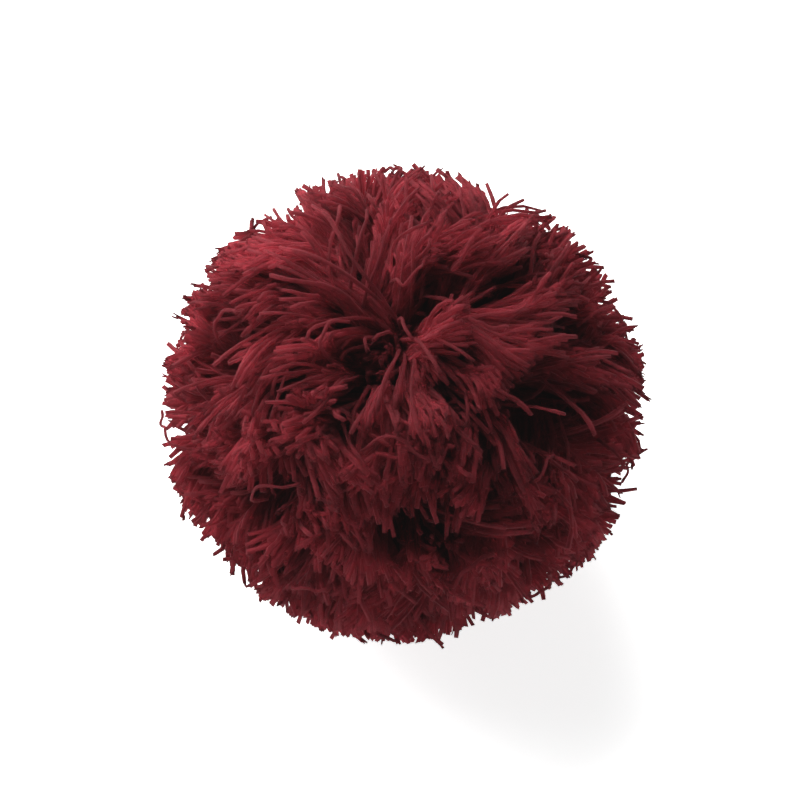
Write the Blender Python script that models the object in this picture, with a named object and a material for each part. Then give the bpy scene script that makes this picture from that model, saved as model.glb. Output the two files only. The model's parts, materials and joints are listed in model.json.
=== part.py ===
"""A yarn pom pom: one trimmed ball of cut yarn that rests on a small flat spot.

Blender 4.5, metres, +Z up. The origin is the middle of the flat spot, at the height of the surface
that the ball stands on. The ball is one solid, because its strands are tied together in the middle.
Its surface is the envelope of the cut ends: tufts that stand a little proud of the crevices between
them, the parting on top from which the strands fan out, and the deeper pits between the main tufts.
"""

import math

import bmesh
import bpy
import numpy as np
from mathutils import Vector

MM = 0.001

# Driving dimensions of the trimmed ball
BALL_WIDTH = 100 * MM
BALL_DEPTH = 97 * MM
BALL_HEIGHT = 96 * MM
FLAT_SPOT = 26 * MM

# Tufts: groups of strands that bunch together, with a shallow crevice round each
TUFT_COUNT = 96
TUFT_JITTER = 0.11
TUFT_SEED = 7
CREVICE_DEPTH = 3.6 * MM
CREVICE_WIDTH = math.radians(6)
TUFT_CROWN = 1.5 * MM
SOFTENING_ROUNDS = 1
SOFTENING = 0.5

# Pressed together where the ball rests, so the crevices fade out near the flat spot
PRESSED_FROM = math.radians(-68)
PRESSED_TO = math.radians(-46)

# The parting, from which the strands fan out, is just beside the top, and the deepest hollow is on the
# right, a third of the way up. Azimuth turns from +X towards +Y and elevation rises from the horizon,
# in degrees from the ball's middle. A pit's long side is turned from the meridian.
PIT_COLUMNS = ("azimuth", "elevation", "across", "along", "turn", "depth_mm")
PARTING = (180, 80, 10, 14, 90, 9)
HOLLOW = (-30, 35, 10, 12, 0, 9)

# Rings of smaller pits between the main tufts, from the top down, each pit a little off its even place
PIT_RINGS = (
    {"elevation": 60, "count": 5, "across": 5, "along": 8, "depth_mm": 5},
    {"elevation": 30, "count": 6, "across": 6, "along": 9, "depth_mm": 5},
    {"elevation": -10, "count": 5, "across": 5, "along": 8, "depth_mm": 6},
)
PIT_SEED = 1
PIT_STRAY = 10
PIT_TURN = 60

SPHERE_SUBDIVISIONS = 5
MERGE_DISTANCE = 0.05 * MM
YARN_COLOUR = (0.105, 0.014, 0.018, 1.0)
YARN_ROUGHNESS = 0.9


def clear_scene():
    """Removes every object, so that the script can run again in an open file."""
    for item in list(bpy.data.objects):
        bpy.data.objects.remove(item, do_unlink=True)


def new_collection(name):
    """An empty collection in the scene."""
    collection = bpy.data.collections.new(name)
    bpy.context.scene.collection.children.link(collection)
    return collection


def yarn_material():
    """Matt burgundy yarn."""
    material = bpy.data.materials.new("burgundy_yarn")
    material.use_nodes = True
    shader = material.node_tree.nodes["Principled BSDF"]
    shader.inputs["Base Color"].default_value = YARN_COLOUR
    shader.inputs["Roughness"].default_value = YARN_ROUGHNESS
    shader.inputs["Metallic"].default_value = 0.0
    return material


def direction(azimuth, elevation):
    """The unit vector at this azimuth and elevation, in degrees."""
    a, e = math.radians(azimuth), math.radians(elevation)
    return Vector((math.cos(e) * math.cos(a), math.cos(e) * math.sin(a), math.sin(e)))


def tuft_directions():
    """Tufts spread evenly over the ball on a golden spiral, each moved a little off its place."""
    random = np.random.RandomState(TUFT_SEED)
    step = np.arange(TUFT_COUNT) + 0.5
    height = 1 - 2 * step / TUFT_COUNT
    turn = step * math.pi * (3 - math.sqrt(5))
    across = np.sqrt(1 - height**2)
    spots = np.stack([across * np.cos(turn), across * np.sin(turn), height], axis=1)
    spots += random.uniform(-TUFT_JITTER, TUFT_JITTER, spots.shape)
    return spots / np.linalg.norm(spots, axis=1, keepdims=True)


def smooth_step(value, start, end):
    """0 before start, 1 after end, and an S-curve between them."""
    share = np.clip((value - start) / (end - start), 0, 1)
    return share * share * (3 - 2 * share)


def crevice_depth(points):
    """How far the surface lies below the tufts' crowns at each unit vector."""
    angles = np.arccos(np.clip(points @ tuft_directions().T, -1, 1))
    nearest = np.sort(angles, axis=1)[:, :2]
    edge = nearest[:, 1] - nearest[:, 0]
    crevice = CREVICE_DEPTH * np.exp(-((edge / CREVICE_WIDTH) ** 2))
    spacing = math.sqrt(4 * math.pi / TUFT_COUNT)
    crown = TUFT_CROWN * (nearest[:, 0] / spacing) ** 2
    elevation = np.arcsin(np.clip(points[:, 2], -1, 1))
    return (crevice + crown) * smooth_step(elevation, PRESSED_FROM, PRESSED_TO)


def pit_rows():
    """The parting, the hollow and the pits of every ring."""
    random = np.random.RandomState(PIT_SEED)
    rows = [PARTING, HOLLOW]
    for ring in PIT_RINGS:
        for place in range(ring["count"]):
            azimuth = 360 * place / ring["count"] + random.uniform(-PIT_STRAY, PIT_STRAY)
            elevation = ring["elevation"] + random.uniform(-PIT_STRAY, PIT_STRAY)
            turn = random.uniform(-PIT_TURN, PIT_TURN)
            rows.append((azimuth, elevation, ring["across"], ring["along"], turn, ring["depth_mm"]))
    return rows


def pit_depth(points):
    """How far the parting and the pits sink the surface at each unit vector."""
    depth = np.zeros(len(points))
    for row in pit_rows():
        pit = dict(zip(PIT_COLUMNS, row, strict=True))
        middle = direction(pit["azimuth"], pit["elevation"])
        east = Vector((0, 0, 1)).cross(middle).normalized()
        north = middle.cross(east)
        turn = math.radians(pit["turn"])
        long_side = np.array(north * math.cos(turn) + east * math.sin(turn))
        short_side = np.array(east * math.cos(turn) - north * math.sin(turn))
        along = points @ long_side / math.sin(math.radians(pit["along"]))
        across = points @ short_side / math.sin(math.radians(pit["across"]))
        near = points @ np.array(middle) > 0
        depth += near * pit["depth_mm"] * MM * np.exp(-(along**2 + across**2))
    return depth


def ball_surface(points):
    """The trimmed ball's surface in each of these directions, before its flat spot is cut."""
    half = Vector((BALL_WIDTH, BALL_DEPTH, 0)) / 2
    spot = FLAT_SPOT / BALL_WIDTH
    half.z = BALL_HEIGHT / (1 + math.sqrt(1 - spot**2))
    radius = 1 / np.linalg.norm(points / np.array(half), axis=1)
    radius -= crevice_depth(points) + pit_depth(points)
    centre = np.array((0, 0, BALL_HEIGHT - half.z))
    return centre + points * radius[:, None]


def fit_to_size(bm):
    """Brings the solid to its driving dimensions, centred over the origin and standing at z = 0."""
    places = np.array([vert.co for vert in bm.verts])
    low, high = places.min(axis=0), places.max(axis=0)
    middle = Vector((*(low + high)[:2] / 2, low[2]))
    size = (BALL_WIDTH, BALL_DEPTH, BALL_HEIGHT)
    bmesh.ops.translate(bm, verts=bm.verts[:], vec=-middle)
    bmesh.ops.scale(bm, verts=bm.verts[:], vec=Vector(size / (high - low)))


def yarn_ball(collection):
    """The whole pom pom as one closed solid, cut flat where it rests."""
    bm = bmesh.new()
    bmesh.ops.create_icosphere(bm, subdivisions=SPHERE_SUBDIVISIONS, radius=1.0)
    unit = np.array([vert.co.normalized() for vert in bm.verts])
    for vert, place in zip(bm.verts, ball_surface(unit), strict=True):
        vert.co = place
    for _ in range(SOFTENING_ROUNDS):
        bmesh.ops.smooth_vert(
            bm, verts=bm.verts[:], factor=SOFTENING, use_axis_x=True, use_axis_y=True, use_axis_z=True
        )
    everything = bm.verts[:] + bm.edges[:] + bm.faces[:]
    cut = bmesh.ops.bisect_plane(
        bm, geom=everything, plane_co=(0, 0, 0), plane_no=(0, 0, -1), clear_outer=True
    )
    rim = [item for item in cut["geom_cut"] if isinstance(item, bmesh.types.BMEdge)]
    bmesh.ops.edgeloop_fill(bm, edges=rim)
    bmesh.ops.remove_doubles(bm, verts=bm.verts[:], dist=MERGE_DISTANCE)
    bmesh.ops.recalc_face_normals(bm, faces=bm.faces[:])
    fit_to_size(bm)
    mesh = bpy.data.meshes.new("yarn_ball")
    bm.to_mesh(mesh)
    bm.free()
    mesh.shade_smooth()
    mesh.materials.append(yarn_material())
    ball = bpy.data.objects.new("yarn_ball", mesh)
    collection.objects.link(ball)
    return ball


def main():
    clear_scene()
    yarn_ball(new_collection("pom_pom"))


main()
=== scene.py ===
"""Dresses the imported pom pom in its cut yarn, laid out as an add-on and run as a script.

A straight strand is modelled once and copied thousands of times. Each copy is bent along its own
path: it leaves the tie in the middle of the ball, bunches with its neighbours into wisps, locks and
tufts, folds away from the parting on top, and ends in a cut at the trimmed surface. Frayed plies
open at the cuts, fine fibres stand off the strands, and a few loose strands lie over the rest.
Lengths are in metres and +Z is up, as in the frame that the strands are made around.
"""

import json
import math

import bmesh
import bpy
import numpy as np
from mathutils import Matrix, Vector

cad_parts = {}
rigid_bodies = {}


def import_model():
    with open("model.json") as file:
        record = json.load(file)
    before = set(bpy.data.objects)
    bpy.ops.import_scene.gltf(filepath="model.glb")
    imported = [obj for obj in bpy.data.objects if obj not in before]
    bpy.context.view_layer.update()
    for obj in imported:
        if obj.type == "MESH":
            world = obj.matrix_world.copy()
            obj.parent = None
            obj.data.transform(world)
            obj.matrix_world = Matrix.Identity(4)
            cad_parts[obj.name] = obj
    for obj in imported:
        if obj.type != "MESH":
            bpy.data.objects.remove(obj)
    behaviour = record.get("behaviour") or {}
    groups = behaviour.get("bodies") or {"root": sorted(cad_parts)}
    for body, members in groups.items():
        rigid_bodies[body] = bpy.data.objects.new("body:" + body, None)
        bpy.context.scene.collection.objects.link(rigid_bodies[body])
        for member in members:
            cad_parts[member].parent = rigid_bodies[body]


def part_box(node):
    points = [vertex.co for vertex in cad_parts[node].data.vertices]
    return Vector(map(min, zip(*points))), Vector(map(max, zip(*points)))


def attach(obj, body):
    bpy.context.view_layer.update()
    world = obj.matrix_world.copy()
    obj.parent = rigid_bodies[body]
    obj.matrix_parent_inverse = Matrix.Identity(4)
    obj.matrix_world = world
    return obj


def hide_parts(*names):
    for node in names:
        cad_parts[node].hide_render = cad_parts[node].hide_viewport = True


bl_info = {
    "name": "Yarn Pom Pom",
    "version": (1, 0, 0),
    "blender": (4, 5, 0),
    "location": "3D View > Sidebar > Pom Pom",
    "description": "Makes a trimmed ball of cut yarn around its solid",
    "category": "Object",
}

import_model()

MM = 0.001
BODY = "root"
NODE = "yarn_ball"
BALL_LOW, BALL_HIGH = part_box(NODE)
BALL_SIZE = BALL_HIGH - BALL_LOW
FLAT_SPOT = 26 * MM
TAU = 2 * math.pi
UP = (0.0, 0.0, 1.0)

# Groups of strands, spread evenly over the ball: how many, their jitter and their seed
TUFTS = (96, 0.11, 7)
LOCKS = (440, 0.05, 23)
WISPS = (2500, 0.04, 33)
TUFT_COUNT, LOCK_COUNT, WISP_COUNT = TUFTS[0], LOCKS[0], WISPS[0]
RAGGED_EDGE = 0.02
STRAND_SEED = 3
LEAN_SEED = 5
LOOSE_SEED = 11

# The bottom of the parting, where short strands stand: how wide it is, in degrees, and their height as
# a share of the ball's radius
CLEFT_SPREAD = 8
CLEFT_HEIGHT = (0.58, 0.70)

# The parting, the hollow and the rings of pits, as in the solid. Azimuth turns from +X towards +Y and
# elevation rises from the horizon, both from the middle of the ball, in degrees.
PIT_COLUMNS = ("azimuth", "elevation", "across", "along", "turn", "depth_mm")
PARTING = (180, 80, 10, 14, 90, 9)
HOLLOW = (-30, 35, 10, 12, 0, 9)
PIT_RINGS = (
    {"elevation": 60, "count": 5, "across": 5, "along": 8, "depth_mm": 5},
    {"elevation": 30, "count": 6, "across": 6, "along": 9, "depth_mm": 5},
    {"elevation": -10, "count": 5, "across": 5, "along": 8, "depth_mm": 6},
)
PIT_SEED = 1
PIT_STRAY = 10
PIT_TURN = 60

# What the solid doesn't show: how much deeper the hollow is, in mm, and small gaps strewn over the ball.
# They have a count, a jitter and a seed, and the least and the most of each size.
HOLLOW_EXTRA = 10
GAPS = (44, 0.15, 13)
GAP_ACROSS = (3, 5)
GAP_ALONG = (5, 10)
GAP_DEPTH = (3, 5)

# Combed locks: strands that end along a lock's way rise behind their ends and lie over the surface.
# The swath crosses from the front of the parting to the back right. The others fan out from the
# parting in rings, from near to far. Reach is how wide a lock is and lie how far back its strands
# rise, in degrees, and hold is how strictly they follow, which is less towards the front.
SWATH = {"start": (-60, 80), "end": (40, 50), "reach": 8, "lie": 38, "hold": 1.0}
FANS = (
    {"near": 5, "far": 35, "count": 9, "reach": 9, "lie": 24, "hold": 0.9},
    {"near": 25, "far": 55, "count": 11, "reach": 7, "lie": 20, "hold": 0.6},
    {"near": 75, "far": 100, "count": 7, "reach": 10, "lie": 16, "hold": 0.5},
)
FAN_SEED = 3
FAN_STRAY = math.radians(8)
FAN_TWIST = math.radians(12)
FRONT_FREE = 0.4

# Where the parting's reach starts to shrink towards the front, and how quickly
FRONT_START = 0.5
FRONT_SLOPE = 1.2

# How far past its end a combed lock reaches, how far its strands keep their own place, and how quickly
# it sets in behind its start
COMB_REACH = 1.15
COMB_OWN_PLACE = 0.35
COMB_ONSET = 6

# How leans are split between tips and roots, and how much of their own place roots keep in a lock
TIP_LEAN = 0.6
ROOT_LEAN = 0.4
ROOT_OWN_PLACE = 0.5
DRIFT_WAVES = 6
DRIFT_PITCH = 2.5

# How stations crowd towards the end; how sharply strands are sorted to a pit's two sides, how that
# fades, and how far they also move along it
STATION_CROWDING = 0.85
PIT_SORTING = 3
PIT_FADING = 0.6
PIT_LENGTHWISE = 0.3

# The slope and the most of a lock's dome, how far missed strands stand out, where and how sharply ends
# curl, and how waves grow along a strand
DOME_SLOPE = 3
DOME_MOST = 1.5
MISSED_RANGE = (-0.5, 1.0)
CURL_START = 0.6
CURL_SHARPNESS = 1.8
WAVE_GROWTH = 1.3

# How widths differ between strands, and how far over the table a path stays for its width
WIDTH_ERROR = 0.08
WIDTH_RANGE = (0.8, 1.25)
STRAND_CLEARANCE = 0.62
SMALL_CLEARANCE = 0.5

# Frayed plies: how far down the strand and off its middle they start, their widths and lengths
PLY_SUNK = 0.45
PLY_OFFSET = 0.22
PLY_WIDTHS = (0.45, 0.7)
PLY_LENGTHS = (0.5, 1.4)

# Fine fibres: where along a strand and how far off its middle they stand, their lengths and widths, how
# far they run along it and how they bend
FIBRE_PLACES = (0.6, 0.995)
FIBRE_OFFSET = 0.25
FIBRE_LENGTHS = (0.5, 1.5)
FIBRE_WIDTHS = (0.7, 1.3)
FIBRE_ALONG = (0.2, 1.2)
FIBRE_BEND = 0.5

# Loose strands: their jitter, half lengths and bow on a ball of one unit, the smoothing of their ways,
# how much of each dives into the ball, how far they follow the pits, and their wobble
LOOSE_JITTER = 0.1
LOOSE_LENGTHS = (0.08, 0.18)
LOOSE_BOW = 0.05
LOOSE_SMOOTHING = 6
DIVE_SHARE = 0.22
LOOSE_IN_PITS = 0.55
LOOSE_WOBBLE = 0.25 * MM

# The blanks: how many sides, which of a path's ten stations the blank has a ring at, and how wide it
# is one ring before its end and at its cut
LONG_SIDES = 4
LONG_STATIONS = tuple(range(10))
SHORT_SIDES = 3
SHORT_STATIONS = (0, 3, 5, 7, 8, 9)
LOOSE_SIDES = 6
LOOSE_SEGMENTS = 16
FIBRE_SIDES = 3
FIBRE_SEGMENTS = 2
LAST = LONG_STATIONS[-1]
FLARE = 1.12
CUT = 0.9
PLY_CUT = 0.7
FIBRE_BODY = 0.8
FIBRE_POINT = 0.3

# A strand that is laid over by more than this is a long one. Both kinds are split into sectors.
LAID_SHARE = 0.35
SECTORS = 3

# How the map of cells is laid out: cells across for each one down, and how much of a cell is used
CELL_SHAPE = 2.2
CELL_USE = (0.65, 0.96)
CELL_EDGE = (0.1, 0.02)

# The yarn's surface: lumps, twisted fibres and how far a strand's tone shifts its colour
LUMP_SIZE = 1.1 * MM
LUMP_DETAIL = 3
LUMP_COLOUR = 0.8
TWIST_TURNS = 12
FIBRE_REPEATS = (9, 40, 1)
FIBRE_DETAIL = 2
FIBRE_RELIEF = 0.6
RELIEF_DEPTH = 0.5 * MM
TONE_SHIFT = 0.6
TONE_START = -0.2
YARN_ROUGHNESS = 0.9
YARN_SPECULAR = 0.1
SHEEN_ROUGHNESS = 0.6

# The stage: the camera's place is from the ball's middle, with its shift to the right and up, and the
# ball fills this share of the frame
FLOOR_SIZE = 6
FLOOR_TONE = (0.88, 0.88, 0.88, 1)
FLOOR_ROUGHNESS = 0.9
WHITE = (1, 1, 1, 1)
FILL_PLACE = (-0.2, -0.8, 0.6)
FILL_SIZE = 0.8
CAMERA_ELEVATION = math.radians(62.5)
CAMERA_DISTANCE = 0.33
CAMERA_ASIDE = (-0.8 * MM, 0.8 * MM)
SENSOR_WIDTH = 36
BALL_SHARE = 0.605


# ---- directions and surfaces

def normalised(vectors):
    """The same vectors, one unit long."""
    return vectors / np.linalg.norm(vectors, axis=-1, keepdims=True)


def direction(azimuth, elevation):
    """The unit vector at this azimuth and elevation, in degrees."""
    turn, rise = math.radians(azimuth), math.radians(elevation)
    return np.array((math.cos(rise) * math.cos(turn), math.cos(rise) * math.sin(turn), math.sin(rise)))


def spread_directions(count, jitter, seed):
    """Directions spread evenly over the ball on a golden spiral, each moved a little off its place."""
    random = np.random.RandomState(seed)
    step = np.arange(count) + 0.5
    height = 1 - 2 * step / count
    turn = step * math.pi * (3 - math.sqrt(5))
    across = np.sqrt(1 - height**2)
    spots = np.stack([across * np.cos(turn), across * np.sin(turn), height], axis=1)
    spots += random.uniform(-jitter, jitter, spots.shape)
    return normalised(spots)


def nearest(units, centres):
    """The number of the centre that lies nearest each direction."""
    return np.argmax(units @ centres.T, axis=1)


def along_surface(random, normals, amount):
    """A random vector at right angles to each normal."""
    vectors = random.normal(0, amount, normals.shape)
    return vectors - normals * np.sum(vectors * normals, axis=-1, keepdims=True)


def ball_halves():
    """The trimmed ball's half axes, before its flat spot is cut."""
    spot = FLAT_SPOT / BALL_SIZE.x
    height = BALL_SIZE.z / (1 + math.sqrt(1 - spot**2))
    return np.array((BALL_SIZE.x / 2, BALL_SIZE.y / 2, height))


HALF = ball_halves()
CENTRE = np.array((0, 0, BALL_SIZE.z - HALF[2]))


def trimmed_radius(units):
    """How far the trimmed surface, or the table under it, lies from the ball's middle."""
    radius = 1 / np.linalg.norm(units / HALF, axis=-1)
    down = np.maximum(-units[..., 2], 1e-6)
    return np.minimum(radius, CENTRE[2] / down)


def pit_rows():
    """The parting, the hollow and the pits of every ring."""
    random = np.random.RandomState(PIT_SEED)
    rows = [PARTING, HOLLOW]
    for ring in PIT_RINGS:
        for place in range(ring["count"]):
            azimuth = 360 * place / ring["count"] + random.uniform(-PIT_STRAY, PIT_STRAY)
            elevation = ring["elevation"] + random.uniform(-PIT_STRAY, PIT_STRAY)
            turn = random.uniform(-PIT_TURN, PIT_TURN)
            rows.append((azimuth, elevation, ring["across"], ring["along"], turn, ring["depth_mm"]))
    return rows


def gap_rows():
    """The hollow's extra depth, and the small gaps strewn over the ball."""
    random = np.random.RandomState(GAPS[-1])
    rows = [(*HOLLOW[:-1], HOLLOW_EXTRA)]
    for spot in spread_directions(*GAPS):
        azimuth = math.degrees(math.atan2(spot[1], spot[0]))
        elevation = math.degrees(math.asin(spot[2]))
        across, along = random.uniform(*GAP_ACROSS), random.uniform(*GAP_ALONG)
        turn, depth = random.uniform(-90, 90), random.uniform(*GAP_DEPTH)
        rows.append((azimuth, elevation, across, along, turn, depth))
    return rows


def pit_places(units):
    """For each pit or gap: its row, its short and long sides, and where the directions lie in it."""
    for row in pit_rows() + gap_rows():
        pit = dict(zip(PIT_COLUMNS, row, strict=True))
        middle = direction(pit["azimuth"], pit["elevation"])
        east = normalised(np.cross(UP, middle))
        north = np.cross(middle, east)
        turn = math.radians(pit["turn"])
        long_side = north * math.cos(turn) + east * math.sin(turn)
        short_side = east * math.cos(turn) - north * math.sin(turn)
        along = units @ long_side / math.sin(math.radians(pit["along"]))
        across = units @ short_side / math.sin(math.radians(pit["across"]))
        inside = np.exp(-(along**2 + across**2)) * (units @ middle > 0)
        yield pit, short_side, long_side, across, along, inside


def pit_depth(units):
    """How far the parting and the pits sink the surface in each direction."""
    return sum(pit["depth_mm"] * MM * inside for pit, _, _, _, _, inside in pit_places(units))


def cleared_of_pits(units, tips, strength):
    """The same directions, moved out of the pits near them, each to the side that its tip is on."""
    moved = units.copy()
    sides = [np.clip(PIT_SORTING * across, -1, 1)[:, None] for _, _, _, across, _, _ in pit_places(tips)]
    for (pit, short_side, long_side, _, along, inside), side in zip(pit_places(units), sides, strict=True):
        width = math.sin(math.radians(pit["across"]))
        shift = (inside**PIT_FADING * width * strength)[:, None]
        moved += shift * (side * short_side + PIT_LENGTHWISE * along[:, None] * long_side)
    return normalised(moved)


# ---- blanks, modelled once

def deselect_all():
    """Leaves nothing selected, as the next operators act on all that is."""
    for item in bpy.data.objects:
        item.select_set(False)


def model_blank(sides, segments, end_width, cut_width):
    """A straight strand a unit in radius and a unit long for each segment, standing at z = 0."""
    deselect_all()
    bpy.ops.mesh.primitive_cylinder_add(
        vertices=sides, radius=1, depth=1, end_fill_type="NGON", location=(0, 0, 0.5)
    )
    blank = bpy.context.object
    bpy.ops.object.transform_apply(location=True, rotation=False, scale=False)
    bpy.ops.object.mode_set(mode="EDIT")
    bpy.ops.mesh.select_mode(type="FACE")
    bpy.ops.mesh.select_all(action="DESELECT")
    bm = bmesh.from_edit_mesh(blank.data)
    for face in bm.faces:
        face.select_set(face.normal.z > 0.9)
    bmesh.update_edit_mesh(blank.data)
    for height in range(2, segments + 1):
        bpy.ops.mesh.extrude_region_move(TRANSFORM_OT_translate={"value": UP})
        if height == segments - 1:
            grow = (end_width, end_width, 1)
            bpy.ops.transform.resize(value=grow, center_override=(0, 0, height))
    shrink = (cut_width, cut_width, 1)
    bpy.ops.transform.resize(value=shrink, center_override=(0, 0, segments))
    bpy.ops.object.mode_set(mode="OBJECT")
    points = np.array([vert.co for vert in blank.data.vertices])
    faces = sorted(tuple(face.vertices) for face in blank.data.polygons)
    bpy.data.objects.remove(blank, do_unlink=True)
    return points, faces, segments


def blank_map(blank):
    """The blank's own map, corner by corner: once round it in u, and from root to cut in v."""
    points, faces, segments = blank
    corners = []
    for face in faces:
        places = points[list(face)]
        if np.ptp(places[:, 2]) < 0.5:
            u = 0.5 + 0.3 * places[:, 0]
            v = 0.985 * round(places[:, 2].mean() / segments) + 0.0075 * (1 + places[:, 1])
        else:
            u = np.arctan2(places[:, 1], places[:, 0]) / TAU % 1
            u = np.where((np.ptp(u) > 0.5) & (u < 0.5), u + 1, u)
            v = 0.03 + 0.94 * places[:, 2] / segments
        corners += list(zip(u, v, strict=True))
    return np.array(corners)


def bent_copies(blank, paths, rolls, widths):
    """Where the blank's points go in each copy, bent along its path."""
    points, _, _ = blank
    station = np.rint(points[:, 2]).astype(int)
    step = paths[:, 1:] - paths[:, :-1]
    tangents = np.concatenate([step[:, :1], step[:, 1:] + step[:, :-1], step[:, -1:]], axis=1)
    tangents = normalised(tangents)
    overall = normalised(paths[:, -1] - paths[:, 0])
    helper = np.where(np.abs(overall[:, 2:]) < 0.8, UP, (1.0, 0.0, 0.0))
    side = normalised(np.cross(overall, helper))
    other = np.cross(overall, side)
    start = (side * np.cos(rolls)[:, None] + other * np.sin(rolls)[:, None])[:, None, :]
    normals = normalised(start - tangents * np.sum(start * tangents, axis=2, keepdims=True))
    binormals = np.cross(tangents, normals)
    offset = points[:, 0, None] * normals[:, station] + points[:, 1, None] * binormals[:, station]
    radii = np.broadcast_to(widths, paths.shape[:2])[:, station, None] / 2
    return paths[:, station] + offset * radii


def join_copies(name, blank, places, tones, material):
    """One mesh of all the copies, with the blank's map, a map of cells and each copy's tone."""
    _, faces, _ = blank
    count, size = places.shape[:2]
    corners = np.concatenate([np.array(face) for face in faces])
    starts = np.cumsum([0] + [len(face) for face in faces[:-1]])
    shift = np.arange(count)[:, None]
    mesh = bpy.data.meshes.new(name)
    mesh.vertices.add(count * size)
    mesh.vertices.foreach_set("co", places.astype(np.float32).ravel())
    mesh.loops.add(count * len(corners))
    mesh.loops.foreach_set("vertex_index", (corners + shift * size).astype(np.int32).ravel())
    mesh.polygons.add(count * len(faces))
    mesh.polygons.foreach_set("loop_start", (starts + shift * len(corners)).astype(np.int32).ravel())
    mesh.update(calc_edges=True)
    mesh.shade_smooth()
    own = blank_map(blank)
    strand_map = mesh.uv_layers.new(name="strand")
    strand_map.data.foreach_set("uv", np.tile(own, (count, 1)).astype(np.float32).ravel())
    columns = math.ceil(math.sqrt(CELL_SHAPE * count))
    rows = math.ceil(count / columns)
    cell = np.stack([np.arange(count) % columns, np.arange(count) // columns], axis=1)
    tiled = (cell[:, None, :] + own * CELL_USE + CELL_EDGE) / (columns, rows)
    cell_map = mesh.uv_layers.new(name="OFBake")
    cell_map.data.foreach_set("uv", tiled.astype(np.float32).ravel())
    tone = mesh.attributes.new("tone", "FLOAT", "POINT")
    tone.data.foreach_set("value", np.repeat(tones, size).astype(np.float32))
    mesh.materials.append(material)
    mesh.validate()
    piece = bpy.data.objects.new(name, mesh)
    bpy.context.scene.collection.objects.link(piece)
    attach(piece, BODY)
    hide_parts(NODE)


# ---- how the strands lie

def drifting_lean(units, amount, seed):
    """A smooth field along the surface, so that whole patches of strands lean one way."""
    random = np.random.RandomState(seed)
    field = np.zeros_like(units)
    for _ in range(DRIFT_WAVES):
        wave = random.normal(0, DRIFT_PITCH, 3)
        phase = random.uniform(0, TAU)
        field += random.normal(0, 1, 3) * np.sin(units @ wave + phase)[:, None]
    field -= units * np.sum(field * units, axis=1, keepdims=True)
    return field * amount / math.sqrt(3)


def parted(tips, lay):
    """How far the parting folds the strands with these tips away from it, and where it is."""
    parting = direction(*PARTING[:2])
    angle = np.arccos(np.clip(tips @ parting, -1, 1))
    outwards = normalised(tips - parting * (tips @ parting)[:, None])
    front = np.clip(FRONT_START - FRONT_SLOPE * outwards[:, 1], 0, 1)
    reach = lay.parting_reach * (1 - lay.front_hold * front)
    return np.exp(-((angle / reach) ** 2)), parting


def comb_rows():
    """Each combed lock's start and end, its reach and lie in radians, and its hold."""
    random = np.random.RandomState(FAN_SEED)
    parting = direction(*PARTING[:2])
    east = normalised(np.cross(UP, parting))
    north = np.cross(parting, east)
    rows = [(direction(*SWATH["start"]), direction(*SWATH["end"]), SWATH, SWATH["hold"])]
    for fan in FANS:
        for place in range(fan["count"]):
            heading = TAU * place / fan["count"] + random.normal(0, FAN_STRAY)
            ends = []
            for distance in (math.radians(fan["near"]), math.radians(fan["far"])):
                side = east * math.cos(heading) + north * math.sin(heading)
                ends.append(parting * math.cos(distance) + side * math.sin(distance))
                heading += random.normal(0, FAN_TWIST)
            rows.append((*ends, fan, fan["hold"] * (1 - FRONT_FREE * max(-side[1], 0))))
    return [
        (start, end, math.radians(lock["reach"]), math.radians(lock["lie"]), hold)
        for start, end, lock, hold in rows
    ]


def combed(tips, roots, lay):
    """Where locks end and rise once combed, how far each is laid over, and how far its end sinks."""
    ends = tips.copy()
    laid, parting = parted(tips, lay)
    sunk = np.zeros(len(tips))
    pull = lay.parting_share * laid[:, None]
    roots = roots * (1 - pull) + parting * pull
    for start, end, reach, lie, hold in comb_rows():
        way = end - start
        place = np.clip((tips - start) @ way / (way @ way), 0, COMB_REACH)[:, None]
        spot = start + place * way
        gap = np.linalg.norm(tips - normalised(spot), axis=1)
        share = lay.comb_share * hold * np.exp(-((gap / reach) ** 2))
        back = min(lie / np.linalg.norm(way), 1)
        risen = start + np.maximum(place - back, 0) * way + COMB_OWN_PLACE * (tips - spot)
        roots = roots * (1 - share[:, None]) + risen * share[:, None]
        behind = np.clip(1 + COMB_ONSET * (tips - start) @ way / (way @ way), 0, 1)
        ends += lay.comb_forward * (share * behind)[:, None] * np.maximum(1 - place, 0) * way
        laid = np.maximum(laid, share)
        sunk = np.maximum(sunk, share * (1 - behind * np.clip(2 * place[:, 0], 0, 1)))
    return normalised(ends), normalised(roots), laid, sunk


def strand_stations(shown_from):
    """How far along the strand each station lies: one step inside the ball, the rest where it shows."""
    outer = np.linspace(0, 1, LAST) ** STATION_CROWDING
    return np.concatenate([[0.0], shown_from + (1 - shown_from) * outer])


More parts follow.
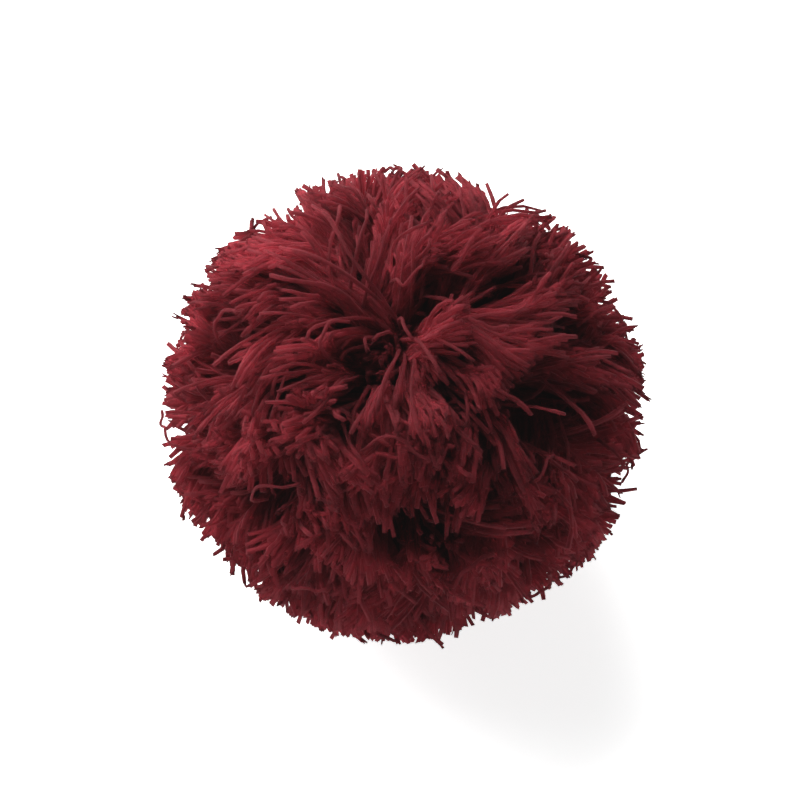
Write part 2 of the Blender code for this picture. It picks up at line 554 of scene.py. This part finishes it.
def group_strands(random, lay, yarn):
    """Where the strands start, and which tuft, lock and wisp each belongs to."""
    count = yarn.strand_count
    spread = spread_directions(count - yarn.cleft_count, math.sqrt(4 * math.pi / count), STRAND_SEED)
    cleft = direction(*PARTING[:2]) + random.normal(0, math.radians(CLEFT_SPREAD), (yarn.cleft_count, 3))
    start = np.concatenate([spread, normalised(cleft)])
    ragged = normalised(start + random.normal(0, RAGGED_EDGE, start.shape))
    tufts = spread_directions(*TUFTS)
    locks = spread_directions(*LOCKS)
    wisps = spread_directions(*WISPS)
    lean = drifting_lean(locks, lay.drift, LEAN_SEED)
    lean += along_surface(random, tufts, lay.tuft_lean)[nearest(locks, tufts)]
    lean += along_surface(random, locks, lay.lock_lean)
    _, _, free, _ = combed(locks, locks, lay)
    lean *= (lay.upright_lean + (1 - lay.upright_lean) * free)[:, None]
    return {
        "start": start,
        "in_cleft": np.arange(count) >= count - yarn.cleft_count,
        "tufts": normalised(tufts + TIP_LEAN * lean[nearest(tufts, locks)]),
        "locks": locks,
        "wisps": wisps,
        "lean": lean,
        "lock": nearest(ragged, locks),
        "wisp": nearest(ragged, wisps),
        "tuft": nearest(locks, tufts)[nearest(ragged, locks)],
    }


def place_ends(random, group, lay):
    """Each strand's tip before and after the pits are cleared, its root, and how its lock lies."""
    start, locks, lock = group["start"], group["locks"], group["lock"]
    count = len(start)
    lean = group["lean"]
    lock_tips, lock_roots, laid, sunk = combed(
        normalised(locks + TIP_LEAN * lean), normalised(locks - ROOT_LEAN * lean), lay
    )
    lock_roots = normalised(lock_roots + laid[:, None] * along_surface(random, locks, lay.comb_cross))
    lock_bunch = random.uniform(lay.lock_bunch * 0.5, lay.lock_bunch * 1.5, LOCK_COUNT)[lock][:, None]
    tuft_bunch = random.uniform(lay.tuft_bunch * 0.4, lay.tuft_bunch * 1.6, TUFT_COUNT)
    tuft_bunch = tuft_bunch[group["tuft"]][:, None]
    wisps, wisp = group["wisps"], group["wisp"]
    offset = start - locks[lock]
    gathered = (offset + lay.wisp_bunch * (wisps[wisp] - start)) * (1 - lock_bunch)
    tips = lock_tips[lock] + gathered
    tips += along_surface(random, wisps, lay.wisp_lean)[wisp]
    tips += along_surface(random, start, lay.stray_lean)
    odd = random.uniform(0, 1, count) < lay.odd_share
    tips += odd[:, None] * along_surface(random, start, lay.odd_lean)
    tips = normalised(tips + tuft_bunch * (group["tufts"][group["tuft"]] - tips))
    cleared = cleared_of_pits(tips, tips, lay.pit_clearance)
    roots = normalised(lock_roots[lock] + ROOT_OWN_PLACE * offset)
    in_cleft = group["in_cleft"]
    cleared = np.where(in_cleft[:, None], start, cleared)
    roots = np.where(in_cleft[:, None], start, roots)
    return tips, cleared, roots, np.where(in_cleft, 0, laid[lock]), sunk[lock]


def cut_radii(random, group, tips, laid, sunk, lay, yarn):
    """How far from the ball's middle each strand is cut."""
    start, lock = group["start"], group["lock"]
    count = len(start)
    reach = trimmed_radius(tips)
    radius = reach - yarn.trim_under - pit_depth(tips) * lay.pit_sink - lay.comb_sink * sunk
    edge = np.sum((start - group["locks"][lock]) ** 2, axis=1) * LOCK_COUNT / (4 * math.pi)
    radius -= lay.lock_dome * np.minimum(edge * DOME_SLOPE, DOME_MOST) + lay.laid_sink * laid
    radius += random.normal(0, yarn.trim_error, count)
    radius += random.normal(0, lay.lock_error, LOCK_COUNT)[lock]
    radius += random.normal(0, lay.tuft_error, TUFT_COUNT)[group["tuft"]]
    radius = np.minimum(radius, reach + yarn.trim_over)
    missed = random.uniform(0, 1, count) < yarn.missed_share
    standing = random.uniform(*MISSED_RANGE, count) * yarn.missed_length
    radius = np.where(missed, reach + standing, radius)
    return np.where(group["in_cleft"], reach * random.uniform(*CLEFT_HEIGHT, count), radius)


def add_waves(random, group, paths, share, tips, laid, lay):
    """Waves and curls the paths: whole locks and wisps together, and each strand a little by itself."""
    across = normalised(np.cross(tips, (0.3, 0.5, 0.81)))
    other = np.cross(tips, across)
    count = len(paths)
    each = np.arange(count)
    calm = lay.calm + (1 - lay.calm) * np.minimum(2 * laid, 1)
    for of_group, size, height, waves_between in (
        (group["lock"], LOCK_COUNT, lay.lock_wave, (0.5, 1.3)),
        (group["wisp"], WISP_COUNT, lay.wisp_wave, (0.7, 2.0)),
        (each, count, lay.strand_wave, (0.7, 2.2)),
        (each, count, lay.crinkle, (3.0, 5.0)),
    ):
        for vector in (across, other):
            heights = calm * random.normal(0, height, size)[of_group]
            phases = random.uniform(0, TAU, size)[of_group]
            waves = random.uniform(*waves_between, size)[of_group]
            wave = np.sin(TAU * waves[:, None] * share + phases[:, None]) * share**WAVE_GROWTH
            paths += (wave * heights[:, None])[:, :, None] * vector[:, None, :]
    curl = along_surface(random, group["wisps"], lay.wisp_curl)[group["wisp"]]
    curl += along_surface(random, tips, lay.tip_curl)
    curl *= (calm * (1 - 0.5 * laid))[:, None]
    curled = np.clip((share - CURL_START) / (1 - CURL_START), 0, 1) ** CURL_SHARPNESS
    paths += curled[:, None] * curl[:, None, :]


def lay_strands(lay, yarn):
    """Every strand's path from the tie to its cut, its roll, widths and tone, and if it is a long one."""
    random = np.random.RandomState(STRAND_SEED)
    group = group_strands(random, lay, yarn)
    uncleared, tips, roots, laid, sunk = place_ends(random, group, lay)
    radius = cut_radii(random, group, tips, laid, sunk, lay, yarn)
    share = strand_stations(lay.shown_from)
    rise = 1 - (1 - share) ** (1 + lay.laid_over * laid[:, None])
    rise = lay.tie + (1 - lay.tie) * rise
    bend = (share ** (lay.bend + lay.late_bend * laid[:, None]))[:, :, None]
    units = normalised(roots[:, None, :] * (1 - bend) + tips[:, None, :] * bend)
    for station in LONG_STATIONS[2:]:
        strength = lay.pit_clearance * share[station]
        units[:, station] = cleared_of_pits(units[:, station], uncleared, strength)
    paths = units * (radius[:, None] * rise)[:, :, None]
    add_waves(random, group, paths, share, tips, laid, lay)
    paths += CENTRE
    count = len(paths)
    long_ones = laid > LAID_SHARE
    widths = yarn.strand_width * random.normal(1, WIDTH_ERROR, count).clip(*WIDTH_RANGE)
    widths *= np.where(long_ones, 1, yarn.short_width)
    widths = widths[:, None] * random.uniform(1 - yarn.slub, 1 + yarn.slub, paths.shape[:2])
    paths[:, :, 2] = np.maximum(paths[:, :, 2], STRAND_CLEARANCE * widths)
    tones = 0.5 * random.uniform(0, 1, count) + 0.5 * random.uniform(0, 1, LOCK_COUNT)[group["lock"]]
    rolls = random.uniform(0, TAU, count)
    return paths, rolls, widths, tones, long_ones


def frayed_plies(yarn, paths, widths):
    """Short plies that open at the cut ends: their paths, widths and the strands they end."""
    random = np.random.RandomState(STRAND_SEED + 1)
    owner = np.flatnonzero(random.uniform(0, 1, len(paths)) < yarn.frayed_share)
    owner = np.repeat(owner, yarn.ply_count)
    count = len(owner)
    end = paths[owner, -1]
    along = normalised(end - paths[owner, -2])
    side = normalised(along_surface(random, along, 1.0))
    spread = np.abs(random.normal(0, yarn.splay, count))[:, None]
    length = yarn.fray_length * random.uniform(*PLY_LENGTHS, count)[:, None]
    base = end - along * length * PLY_SUNK + side * widths[owner, -1][:, None] * PLY_OFFSET
    tip = base + normalised(along + side * spread) * length
    thick = widths[owner, -1] * random.uniform(*PLY_WIDTHS, count)
    return np.stack([base, tip], axis=1), thick, owner


def fuzz_fibres(yarn, paths, widths):
    """Fine fibres that stand off the strands: their paths, widths and the strands they leave."""
    random = np.random.RandomState(STRAND_SEED + 2)
    count = yarn.fibre_count
    owner = random.randint(0, len(paths), count)
    place = random.uniform(*FIBRE_PLACES, count) * LAST
    station = place.astype(int)
    rest = (place - station)[:, None]
    start = paths[owner, station] * (1 - rest) + paths[owner, station + 1] * rest
    along = normalised(paths[owner, station + 1] - paths[owner, station])
    side = normalised(along_surface(random, along, 1.0))
    length = yarn.fibre_length * random.uniform(*FIBRE_LENGTHS, count)[:, None]
    heading = normalised(along * random.uniform(*FIBRE_ALONG, count)[:, None] + side)
    base = start + side * widths[owner, station][:, None] * FIBRE_OFFSET
    middle = base + heading * length * 0.5
    tip = middle + normalised(heading + random.normal(0, FIBRE_BEND, (count, 3))) * length * 0.5
    thick = yarn.fibre_width * random.uniform(*FIBRE_WIDTHS, count)
    return np.stack([base, middle, tip], axis=1), thick, owner


def strewn_ways(random, count):
    """Rough ways of loose strands strewn evenly over the ball."""
    ways = []
    for spot in spread_directions(count, LOOSE_JITTER, LOOSE_SEED):
        heading = normalised(along_surface(random, spot, 1.0))
        side = np.cross(spot, heading)
        length = random.uniform(*LOOSE_LENGTHS)
        bow = random.normal(0, LOOSE_BOW)
        ways.append(np.array([
            spot - heading * length,
            spot + side * bow,
            spot + heading * length * 0.6,
            spot + heading * length + side * random.normal(0, LOOSE_BOW),
        ]))
    return ways


def smooth_way(way, share):
    """Directions on a smooth curve through the way's own, at these shares of its length."""
    spans = len(way) - 1
    knots = np.concatenate([2 * way[:1] - way[1:2], way, 2 * way[-1:] - way[-2:-1]])
    span = np.minimum((share * spans).astype(int), spans - 1)
    t = (share * spans - span)[:, None]
    a, b, c, d = knots[span], knots[span + 1], knots[span + 2], knots[span + 3]
    units = b + 0.5 * t * (c - a + t * (2 * a - 5 * b + 4 * c - d + t * (3 * (b - c) + d - a)))
    for _ in range(LOOSE_SMOOTHING):
        units[1:-1] = 0.5 * units[1:-1] + 0.25 * (units[:-2] + units[2:])
    return normalised(units)


def loose_paths(yarn):
    """The paths of the loose strands that are strewn over the ball."""
    random = np.random.RandomState(LOOSE_SEED)
    share = np.linspace(0, 1, LOOSE_SEGMENTS + 1)
    paths = []
    for way in strewn_ways(random, yarn.strewn_count):
        units = smooth_way(way, share)
        dive = np.clip(1 - share / DIVE_SHARE, 0, 1) ** 1.5 * yarn.loose_dive
        lift = yarn.loose_lift * (0.4 + 0.6 * np.sin(math.pi * random.uniform(0.6, 1.2) * share) ** 2)
        radius = trimmed_radius(units) - LOOSE_IN_PITS * pit_depth(units) + lift - dive
        path = units * radius[:, None] + CENTRE
        path += LOOSE_WOBBLE * np.sin(share[:, None] * random.uniform(8, 20, 3) + random.uniform(0, 6, 3))
        path[:, 2] = np.maximum(path[:, 2], 0.6 * yarn.strand_width)
        paths.append(path)
    return np.array(paths)


# ---- materials

def add_node(tree, kind, operation=None, **values):
    """Adds a shader node, sets its operation, and sets its inputs by their names or numbers."""
    node = tree.nodes.new(f"ShaderNode{kind}")
    if operation:
        node.operation = operation
    for name, value in values.items():
        key = int(name[1:]) if name.startswith("_") else name
        node.inputs[key].default_value = value
    return node


def link(tree, *pairs):
    """Joins the output of each pair to its input."""
    for output, socket in pairs:
        tree.links.new(output, socket)


def add_relief(tree, tone, lumps):
    """The height of the twisted fibres and the lumps over the strand."""
    uv = add_node(tree, "UVMap")
    uv.uv_map = "strand"
    parts = add_node(tree, "SeparateXYZ")
    twist = add_node(tree, "Math", "MULTIPLY_ADD", _1=TWIST_TURNS)
    joined = add_node(tree, "CombineXYZ")
    stretch = add_node(tree, "Mapping", Scale=FIBRE_REPEATS)
    fibres = add_node(tree, "TexNoise", Scale=1.0, Detail=FIBRE_DETAIL)
    relief = add_node(tree, "Math", "MULTIPLY_ADD", _1=FIBRE_RELIEF)
    link(
        tree,
        (uv.outputs["UV"], parts.inputs["Vector"]),
        (parts.outputs["Y"], twist.inputs[0]),
        (parts.outputs["X"], twist.inputs[2]),
        (twist.outputs[0], joined.inputs["X"]),
        (parts.outputs["Y"], joined.inputs["Y"]),
        (tone.outputs["Fac"], joined.inputs["Z"]),
        (joined.outputs[0], stretch.inputs["Vector"]),
        (stretch.outputs["Vector"], fibres.inputs["Vector"]),
        (fibres.outputs["Fac"], relief.inputs[0]),
        (lumps.outputs["Fac"], relief.inputs[2]),
    )
    return relief


def yarn_material(finish):
    """Matt yarn: soft twisted fibres, lighter and darker strands, and a little sheen."""
    material = bpy.data.materials.get("burgundy_yarn")
    if material:
        return material
    material = bpy.data.materials.new("burgundy_yarn")
    material.use_nodes = True
    tree = material.node_tree
    shader = tree.nodes["Principled BSDF"]
    shader.subsurface_method = "BURLEY"
    for socket, value in (
        ("Roughness", YARN_ROUGHNESS),
        ("Specular IOR Level", YARN_SPECULAR),
        ("Sheen Weight", finish.sheen),
        ("Sheen Roughness", SHEEN_ROUGHNESS),
        ("Sheen Tint", (*finish.sheen_colour, 1)),
        ("Subsurface Weight", finish.softness),
        ("Subsurface Radius", finish.soft_spread),
        ("Subsurface Scale", finish.soft_depth),
    ):
        shader.inputs[socket].default_value = value
    tone = add_node(tree, "Attribute")
    tone.attribute_name = "tone"
    place = add_node(tree, "TexCoord")
    lumps = add_node(tree, "TexNoise", Scale=1 / LUMP_SIZE, Detail=LUMP_DETAIL)
    link(tree, (place.outputs["Object"], lumps.inputs["Vector"]))
    relief = add_relief(tree, tone, lumps)
    bump = add_node(tree, "Bump", Strength=finish.bump, Distance=RELIEF_DEPTH)
    link(
        tree,
        (relief.outputs[0], bump.inputs["Height"]),
        (bump.outputs["Normal"], shader.inputs["Normal"]),
    )
    shift = add_node(tree, "Math", "MULTIPLY_ADD", _1=TONE_SHIFT, _2=TONE_START)
    mix = add_node(tree, "Math", "MULTIPLY_ADD", _1=LUMP_COLOUR)
    ramp = add_node(tree, "ValToRGB")
    ramp.color_ramp.elements[0].color = (*finish.dark_colour, 1)
    ramp.color_ramp.elements[1].color = (*finish.light_colour, 1)
    link(
        tree,
        (tone.outputs["Fac"], shift.inputs[0]),
        (lumps.outputs["Fac"], mix.inputs[0]),
        (shift.outputs[0], mix.inputs[2]),
        (mix.outputs[0], ramp.inputs["Fac"]),
        (ramp.outputs["Color"], shader.inputs["Base Color"]),
    )
    return material


# ---- settings

def a_number(name, description, value, **limits):
    """A number that a user may change."""
    return bpy.props.FloatProperty(name=name, description=description, default=value, **limits)


def a_length(name, description, millimetres):
    """A length that a user may change, given in millimetres."""
    return a_number(name, description, millimetres * MM, min=0, unit="LENGTH", precision=5)


def a_share(name, description, value, high=1):
    """A share that a user may change, from none to all, or to more than all."""
    return a_number(name, description, value, min=0, max=high, subtype="FACTOR")


def a_count(name, description, value):
    """A count that a user may change."""
    return bpy.props.IntProperty(name=name, description=description, default=value, min=0)


def a_triple(name, description, value, **limits):
    """Three numbers that a user may change together."""
    return bpy.props.FloatVectorProperty(name=name, description=description, default=value, **limits)


def a_colour(name, description, value):
    """A colour that a user may change."""
    return a_triple(name, description, value, min=0, max=1, subtype="COLOR")


class PomPomYarn(bpy.types.PropertyGroup):
    """The yarn and how it is cut"""

    strand_count: a_count("Strands", "How many strands are tied in the ball", 17500)
    cleft_count: a_count("Strands in the parting", "How many of them stand at its bottom", 600)
    strand_width: a_length("Strand width", "Width of a long strand", 0.75)
    short_width: a_share("Short strands", "Width of a short strand for a long one's", 1.3, 2)
    slub: a_share("Slub", "How far the width goes up and down along a strand", 0.18)
    trim_under: a_length("Trimmed under", "How far under the surface the strands are cut", 0.5)
    trim_over: a_length("Trimmed over", "How far over the surface a cut may miss", 0.3)
    trim_error: a_length("Trim error", "How unevenly single strands are cut", 0.5)
    missed_share: a_share("Missed strands", "How many strands the scissors miss", 0.04)
    missed_length: a_length("Missed length", "How far a missed strand stands out", 0.8)
    frayed_share: a_share("Frayed ends", "How many cut ends open into plies", 0.3)
    ply_count: a_count("Plies", "How many plies open at a frayed end", 2)
    splay: a_number("Splay", "How far the plies open, as a slope", 0.2)
    fray_length: a_length("Ply length", "How long the opened plies are", 1.2)
    fibre_count: a_count("Fibres", "How many fine fibres stand off the strands", 3000)
    fibre_length: a_length("Fibre length", "How long a fine fibre is", 1.6)
    fibre_width: a_length("Fibre width", "How wide a fine fibre is", 0.11)
    strewn_count: a_count("Strewn strands", "How many loose strands lie anywhere on the ball", 40)
    loose_lift: a_length("Loose lift", "How far loose strands lie over the rest", 0.3)
    loose_dive: a_length("Loose dive", "How deep loose strands come out of the ball", 6)


class PomPomLay(bpy.types.PropertyGroup):
    """How the strands lean, bunch and curl"""

    drift: a_number("Drift", "Lean of whole patches of strands, as a slope", 0.10)
    tuft_lean: a_number("Tuft lean", "Lean of each tuft, as a slope", 0.16)
    lock_lean: a_number("Lock lean", "Lean of each lock, as a slope", 0.2)
    wisp_lean: a_number("Wisp lean", "Lean of each wisp, as a slope", 0.05)
    stray_lean: a_number("Stray lean", "Lean of each strand, as a slope", 0.02)
    odd_share: a_share("Odd strands", "How many strands lean much further", 0.10)
    odd_lean: a_number("Odd lean", "Lean of those strands, as a slope", 0.11)
    upright_lean: a_share("Upright lean", "How much locks lean that aren't combed", 0.95)
    tuft_bunch: a_share("Tuft bunch", "How far strands gather to their tuft", 0.15)
    lock_bunch: a_share("Lock bunch", "How far strands gather to their lock", 0.4)
    wisp_bunch: a_share("Wisp bunch", "How far strands gather to their wisp", 0.45)
    parting_share: a_share("Parting", "How far roots are pulled to the parting", 0.4)
    parting_reach: a_number(
        "Parting reach", "How wide around it the parting folds the strands",
        math.radians(45), min=0, unit="ROTATION",
    )
    front_hold: a_share("Front hold", "How much less far it reaches in front", 0.68)
    comb_share: a_share("Comb", "How strictly combed locks follow their way", 0.9)
    comb_forward: a_share("Comb forward", "How far combed ends are drawn along the way", 0.3)
    comb_cross: a_number("Comb cross", "How far combed locks cross each other, as a slope", 0.13)
    comb_sink: a_length("Comb sink", "How far ends sink where a comb starts", 3)
    pit_clearance: a_share("Pit clearance", "How far strands are moved out of the pits", 0.65)
    pit_sink: a_share("Pit sink", "How deep strands are cut in a pit for its depth", 1.25, 3)
    laid_sink: a_length("Laid sink", "How far strands sink that are laid over", 1)
    lock_dome: a_length("Lock dome", "How far a lock's edge is under its middle", 5.5)
    lock_error: a_length("Lock error", "How unevenly locks are cut", 1.1)
    tuft_error: a_length("Tuft error", "How unevenly tufts are cut", 1.3)
    tie: a_share("Tie", "Where strands leave the tie for the ball's radius", 0.16)
    shown_from: a_share("Shown from", "Where along a strand it starts to show", 0.5)
    bend: a_number("Bend", "How late a strand bends from its root to its tip", 2.2)
    late_bend: a_number("Late bend", "How much later a combed strand bends", 2.0)
    laid_over: a_number("Laid over", "How early a combed strand reaches its height", 0.4)
    calm: a_share("Calm", "How much upright strands wave for combed ones", 0.95)
    lock_wave: a_length("Lock wave", "How far locks wave", 1.2)
    wisp_wave: a_length("Wisp wave", "How far wisps wave", 1.1)
    strand_wave: a_length("Strand wave", "How far strands wave", 0.5)
    crinkle: a_length("Crinkle", "How far strands crinkle", 0.2)
    wisp_curl: a_length("Wisp curl", "How far the ends of a wisp curl together", 1.8)
    tip_curl: a_length("Tip curl", "How far the end of a strand curls", 1.6)


class PomPomFinish(bpy.types.PropertyGroup):
    """The yarn's colour and finish"""

    dark_colour: a_colour("Dark strands", "Colour of the darkest strands", (0.065, 0.0055, 0.0082))
    light_colour: a_colour("Light strands", "Colour of the lightest strands", (0.165, 0.015, 0.021))
    sheen: a_share("Sheen", "How much the fuzz on the strands catches the light", 0.15)
    sheen_colour: a_colour("Sheen colour", "Colour of that light", (0.6, 0.09, 0.11))
    softness: a_share("Softness", "How much light passes through the strands", 1.0)
    soft_depth: a_length("Soft depth", "How far light passes through the strands", 5)
    soft_spread: a_triple(
        "Soft spread", "How far red, green and blue light pass for the soft depth", (1, 0.85, 0.85), min=0
    )
    bump: a_share("Relief", "How strongly lumps and fibres show", 0.6)


class PomPomStage(bpy.types.PropertyGroup):
    """The floor, the lights and the camera"""

    key_place: a_triple(
        "Main light", "Where the main light is from the ball's middle",
        (-0.52, 0.70, 0.62), subtype="TRANSLATION", unit="LENGTH",
    )
    key_size: a_length("Main light's size", "Width of the main light", 1300)
    key_power: a_number("Main light's power", "Power of the main light in watts", 42)
    fill_power: a_number("Fill power", "Power of the light in front in watts", 0.2)
    sky: a_number("Sky", "Strength of the even light from all sides", 0.07)
    glow: a_number("Floor glow", "How much the pale floor lightens its own shadow", 0.92)
    exposure: a_number("Exposure", "Exposure of the view, in stops", -0.15)
    lift: a_number("Lifted blacks", "How far the deepest shadows are lifted", 0.0044)


# ---- operators

def sectors(paths):
    """Which sector of the ball, seen from above, each path ends in."""
    turn = np.arctan2(paths[:, -1, 1], paths[:, -1, 0]) / TAU % 1
    return np.minimum((turn * SECTORS).astype(int), SECTORS - 1)


def add_strands(name, scene, sides, stations, long_ones):
    """Adds the long or the short strands to the scene, sector by sector."""
    paths, rolls, widths, tones, is_long = lay_strands(scene.pom_lay, scene.pom_yarn)
    blank = model_blank(sides, len(stations) - 1, FLARE, CUT)
    material = yarn_material(scene.pom_finish)
    sector = sectors(paths)
    for number in range(SECTORS):
        chosen = (sector == number) & (is_long == long_ones)
        picked = paths[chosen][:, stations]
        places = bent_copies(blank, picked, rolls[chosen], widths[chosen][:, stations])
        join_copies(f"{name}_{number + 1}", blank, places, tones[chosen], material)


def add_small(name, scene, make, blank, seed):
    """Adds the plies or the fibres that this maker gives for the strands to the scene."""
    paths, _, widths, tones, _ = lay_strands(scene.pom_lay, scene.pom_yarn)
    small, thick, owner = make(scene.pom_yarn, paths, widths)
    small[:, :, 2] = np.maximum(small[:, :, 2], SMALL_CLEARANCE * scene.pom_yarn.strand_width)
    rolls = np.random.RandomState(seed).uniform(0, TAU, len(small))
    places = bent_copies(blank, small, rolls, thick[:, None])
    join_copies(name, blank, places, tones[owner], yarn_material(scene.pom_finish))


class POMPOM_OT_long_strands(bpy.types.Operator):
    """Bend copies of the strand into the yarn that is laid over around the parting"""

    bl_idname = "pompom.long_strands"
    bl_label = "Long Strands"

    def execute(self, context):
        add_strands("long_strands", context.scene, LONG_SIDES, LONG_STATIONS, True)
        return {"FINISHED"}


class POMPOM_OT_short_strands(bpy.types.Operator):
    """Bend copies of the strand into the yarn whose cut ends face outwards"""

    bl_idname = "pompom.short_strands"
    bl_label = "Short Strands"

    def execute(self, context):
        add_strands("short_strands", context.scene, SHORT_SIDES, SHORT_STATIONS, False)
        return {"FINISHED"}


class POMPOM_OT_frayed_ends(bpy.types.Operator):
    """Open short plies at the strands' cut ends"""

    bl_idname = "pompom.frayed_ends"
    bl_label = "Frayed Ends"

    def execute(self, context):
        blank = model_blank(FIBRE_SIDES, 1, 1, PLY_CUT)
        add_small("frayed_ends", context.scene, frayed_plies, blank, STRAND_SEED + 3)
        return {"FINISHED"}


class POMPOM_OT_fuzz(bpy.types.Operator):
    """Stand fine fibres off the strands"""

    bl_idname = "pompom.fuzz"
    bl_label = "Fuzz"

    def execute(self, context):
        blank = model_blank(FIBRE_SIDES, FIBRE_SEGMENTS, FIBRE_BODY, FIBRE_POINT)
        add_small("fuzz", context.scene, fuzz_fibres, blank, STRAND_SEED + 4)
        return {"FINISHED"}


class POMPOM_OT_loose_strands(bpy.types.Operator):
    """Lay a few loose strands over the rest"""

    bl_idname = "pompom.loose_strands"
    bl_label = "Loose Strands"

    def execute(self, context):
        scene = context.scene
        paths = loose_paths(scene.pom_yarn)
        random = np.random.RandomState(LOOSE_SEED + 1)
        count = len(paths)
        widths = scene.pom_yarn.strand_width * random.uniform(0.8, 1.0, count)
        rolls = random.uniform(0, TAU, count)
        tones = random.uniform(0.3, 1, count)
        blank = model_blank(LOOSE_SIDES, LOOSE_SEGMENTS, FLARE, CUT)
        places = bent_copies(blank, paths, rolls, widths[:, None])
        join_copies("loose_strands", blank, places, tones, yarn_material(scene.pom_finish))
        return {"FINISHED"}


def add_floor(glow):
    """A plain pale floor."""
    deselect_all()
    bpy.ops.mesh.primitive_plane_add(size=FLOOR_SIZE, location=(0, 0, 0))
    floor = bpy.context.object
    floor.name = "floor"
    paint = bpy.data.materials.new("pale_floor")
    paint.use_nodes = True
    shader = paint.node_tree.nodes["Principled BSDF"]
    shader.inputs["Base Color"].default_value = FLOOR_TONE
    shader.inputs["Roughness"].default_value = FLOOR_ROUGHNESS
    shader.inputs["Emission Color"].default_value = WHITE
    shader.inputs["Emission Strength"].default_value = glow
    floor.data.materials.append(paint)


def add_light(scene, name, where, size, power):
    """A square light that shines at the ball's middle."""
    middle = Vector(CENTRE)
    data = bpy.data.lights.new(name, "AREA")
    data.size = size
    data.energy = power
    lamp = bpy.data.objects.new(name, data)
    lamp.location = middle + Vector(where)
    lamp.rotation_euler = (-Vector(where)).to_track_quat("-Z", "Y").to_euler()
    scene.collection.objects.link(lamp)


def add_camera(scene):
    """A camera that looks down on the front of the ball."""
    back = Vector((0, -math.cos(CAMERA_ELEVATION), math.sin(CAMERA_ELEVATION)))
    above = Vector((0, math.sin(CAMERA_ELEVATION), math.cos(CAMERA_ELEVATION)))
    right, rise = CAMERA_ASIDE
    data = bpy.data.cameras.new("camera")
    half = math.asin(HALF[0] / CAMERA_DISTANCE)
    data.sensor_width = SENSOR_WIDTH
    data.lens = SENSOR_WIDTH / 2 / (math.tan(half) / BALL_SHARE)
    data.clip_start = 0.01
    camera = bpy.data.objects.new("camera", data)
    camera.location = Vector(CENTRE) + back * CAMERA_DISTANCE + above * rise + Vector((right, 0, 0))
    camera.rotation_euler = (-back).to_track_quat("-Z", "Y").to_euler()
    scene.collection.objects.link(camera)
    scene.camera = camera


class POMPOM_OT_stage(bpy.types.Operator):
    """Set the floor, the soft lights and the camera"""

    bl_idname = "pompom.stage"
    bl_label = "Stage"

    def execute(self, context):
        scene = context.scene
        stage = scene.pom_stage
        add_floor(stage.glow)
        add_light(scene, "key", stage.key_place, stage.key_size, stage.key_power)
        add_light(scene, "fill", FILL_PLACE, FILL_SIZE, stage.fill_power)
        world = bpy.data.worlds.new("studio")
        world.use_nodes = True
        sky = world.node_tree.nodes["Background"]
        sky.inputs["Color"].default_value = WHITE
        sky.inputs["Strength"].default_value = stage.sky
        scene.world = world
        add_camera(scene)
        view = scene.view_settings
        view.view_transform = "Standard"
        view.exposure = stage.exposure
        view.use_curve_mapping = True
        view.curve_mapping.black_level = (-stage.lift,) * 3
        return {"FINISHED"}


class POMPOM_PT_panel(bpy.types.Panel):
    """Lists the pom pom's settings and the steps that make it"""

    bl_idname = "POMPOM_PT_panel"
    bl_label = "Yarn Pom Pom"
    bl_space_type = "VIEW_3D"
    bl_region_type = "UI"
    bl_category = "Pom Pom"

    def draw(self, context):
        for group in (getattr(context.scene, name) for name in GROUPS):
            box = self.layout.box()
            box.label(text=group.bl_rna.description)
            for setting in group.bl_rna.properties[2:]:
                box.prop(group, setting.identifier)
        for step in STEPS:
            self.layout.operator(step.bl_idname)


GROUPS = {
    "pom_yarn": PomPomYarn,
    "pom_lay": PomPomLay,
    "pom_finish": PomPomFinish,
    "pom_stage": PomPomStage,
}
STEPS = (
    POMPOM_OT_long_strands,
    POMPOM_OT_short_strands,
    POMPOM_OT_frayed_ends,
    POMPOM_OT_fuzz,
    POMPOM_OT_loose_strands,
    POMPOM_OT_stage,
)


def register():
    """Registers the settings, the steps and the panel."""
    for item in (*GROUPS.values(), *STEPS, POMPOM_PT_panel):
        bpy.utils.register_class(item)
    for name, group in GROUPS.items():
        setattr(bpy.types.Scene, name, bpy.props.PointerProperty(type=group))


def unregister():
    """Takes them away again."""
    for name in GROUPS:
        delattr(bpy.types.Scene, name)
    for item in (POMPOM_PT_panel, *reversed(STEPS), *reversed(GROUPS.values())):
        bpy.utils.unregister_class(item)


def main():
    """Makes the pom pom and its stage."""
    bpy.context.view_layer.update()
    register()
    bpy.ops.pompom.long_strands()
    bpy.ops.pompom.short_strands()
    bpy.ops.pompom.frayed_ends()
    bpy.ops.pompom.fuzz()
    bpy.ops.pompom.loose_strands()
    bpy.ops.pompom.stage()


if __name__ == "__main__":
    main()
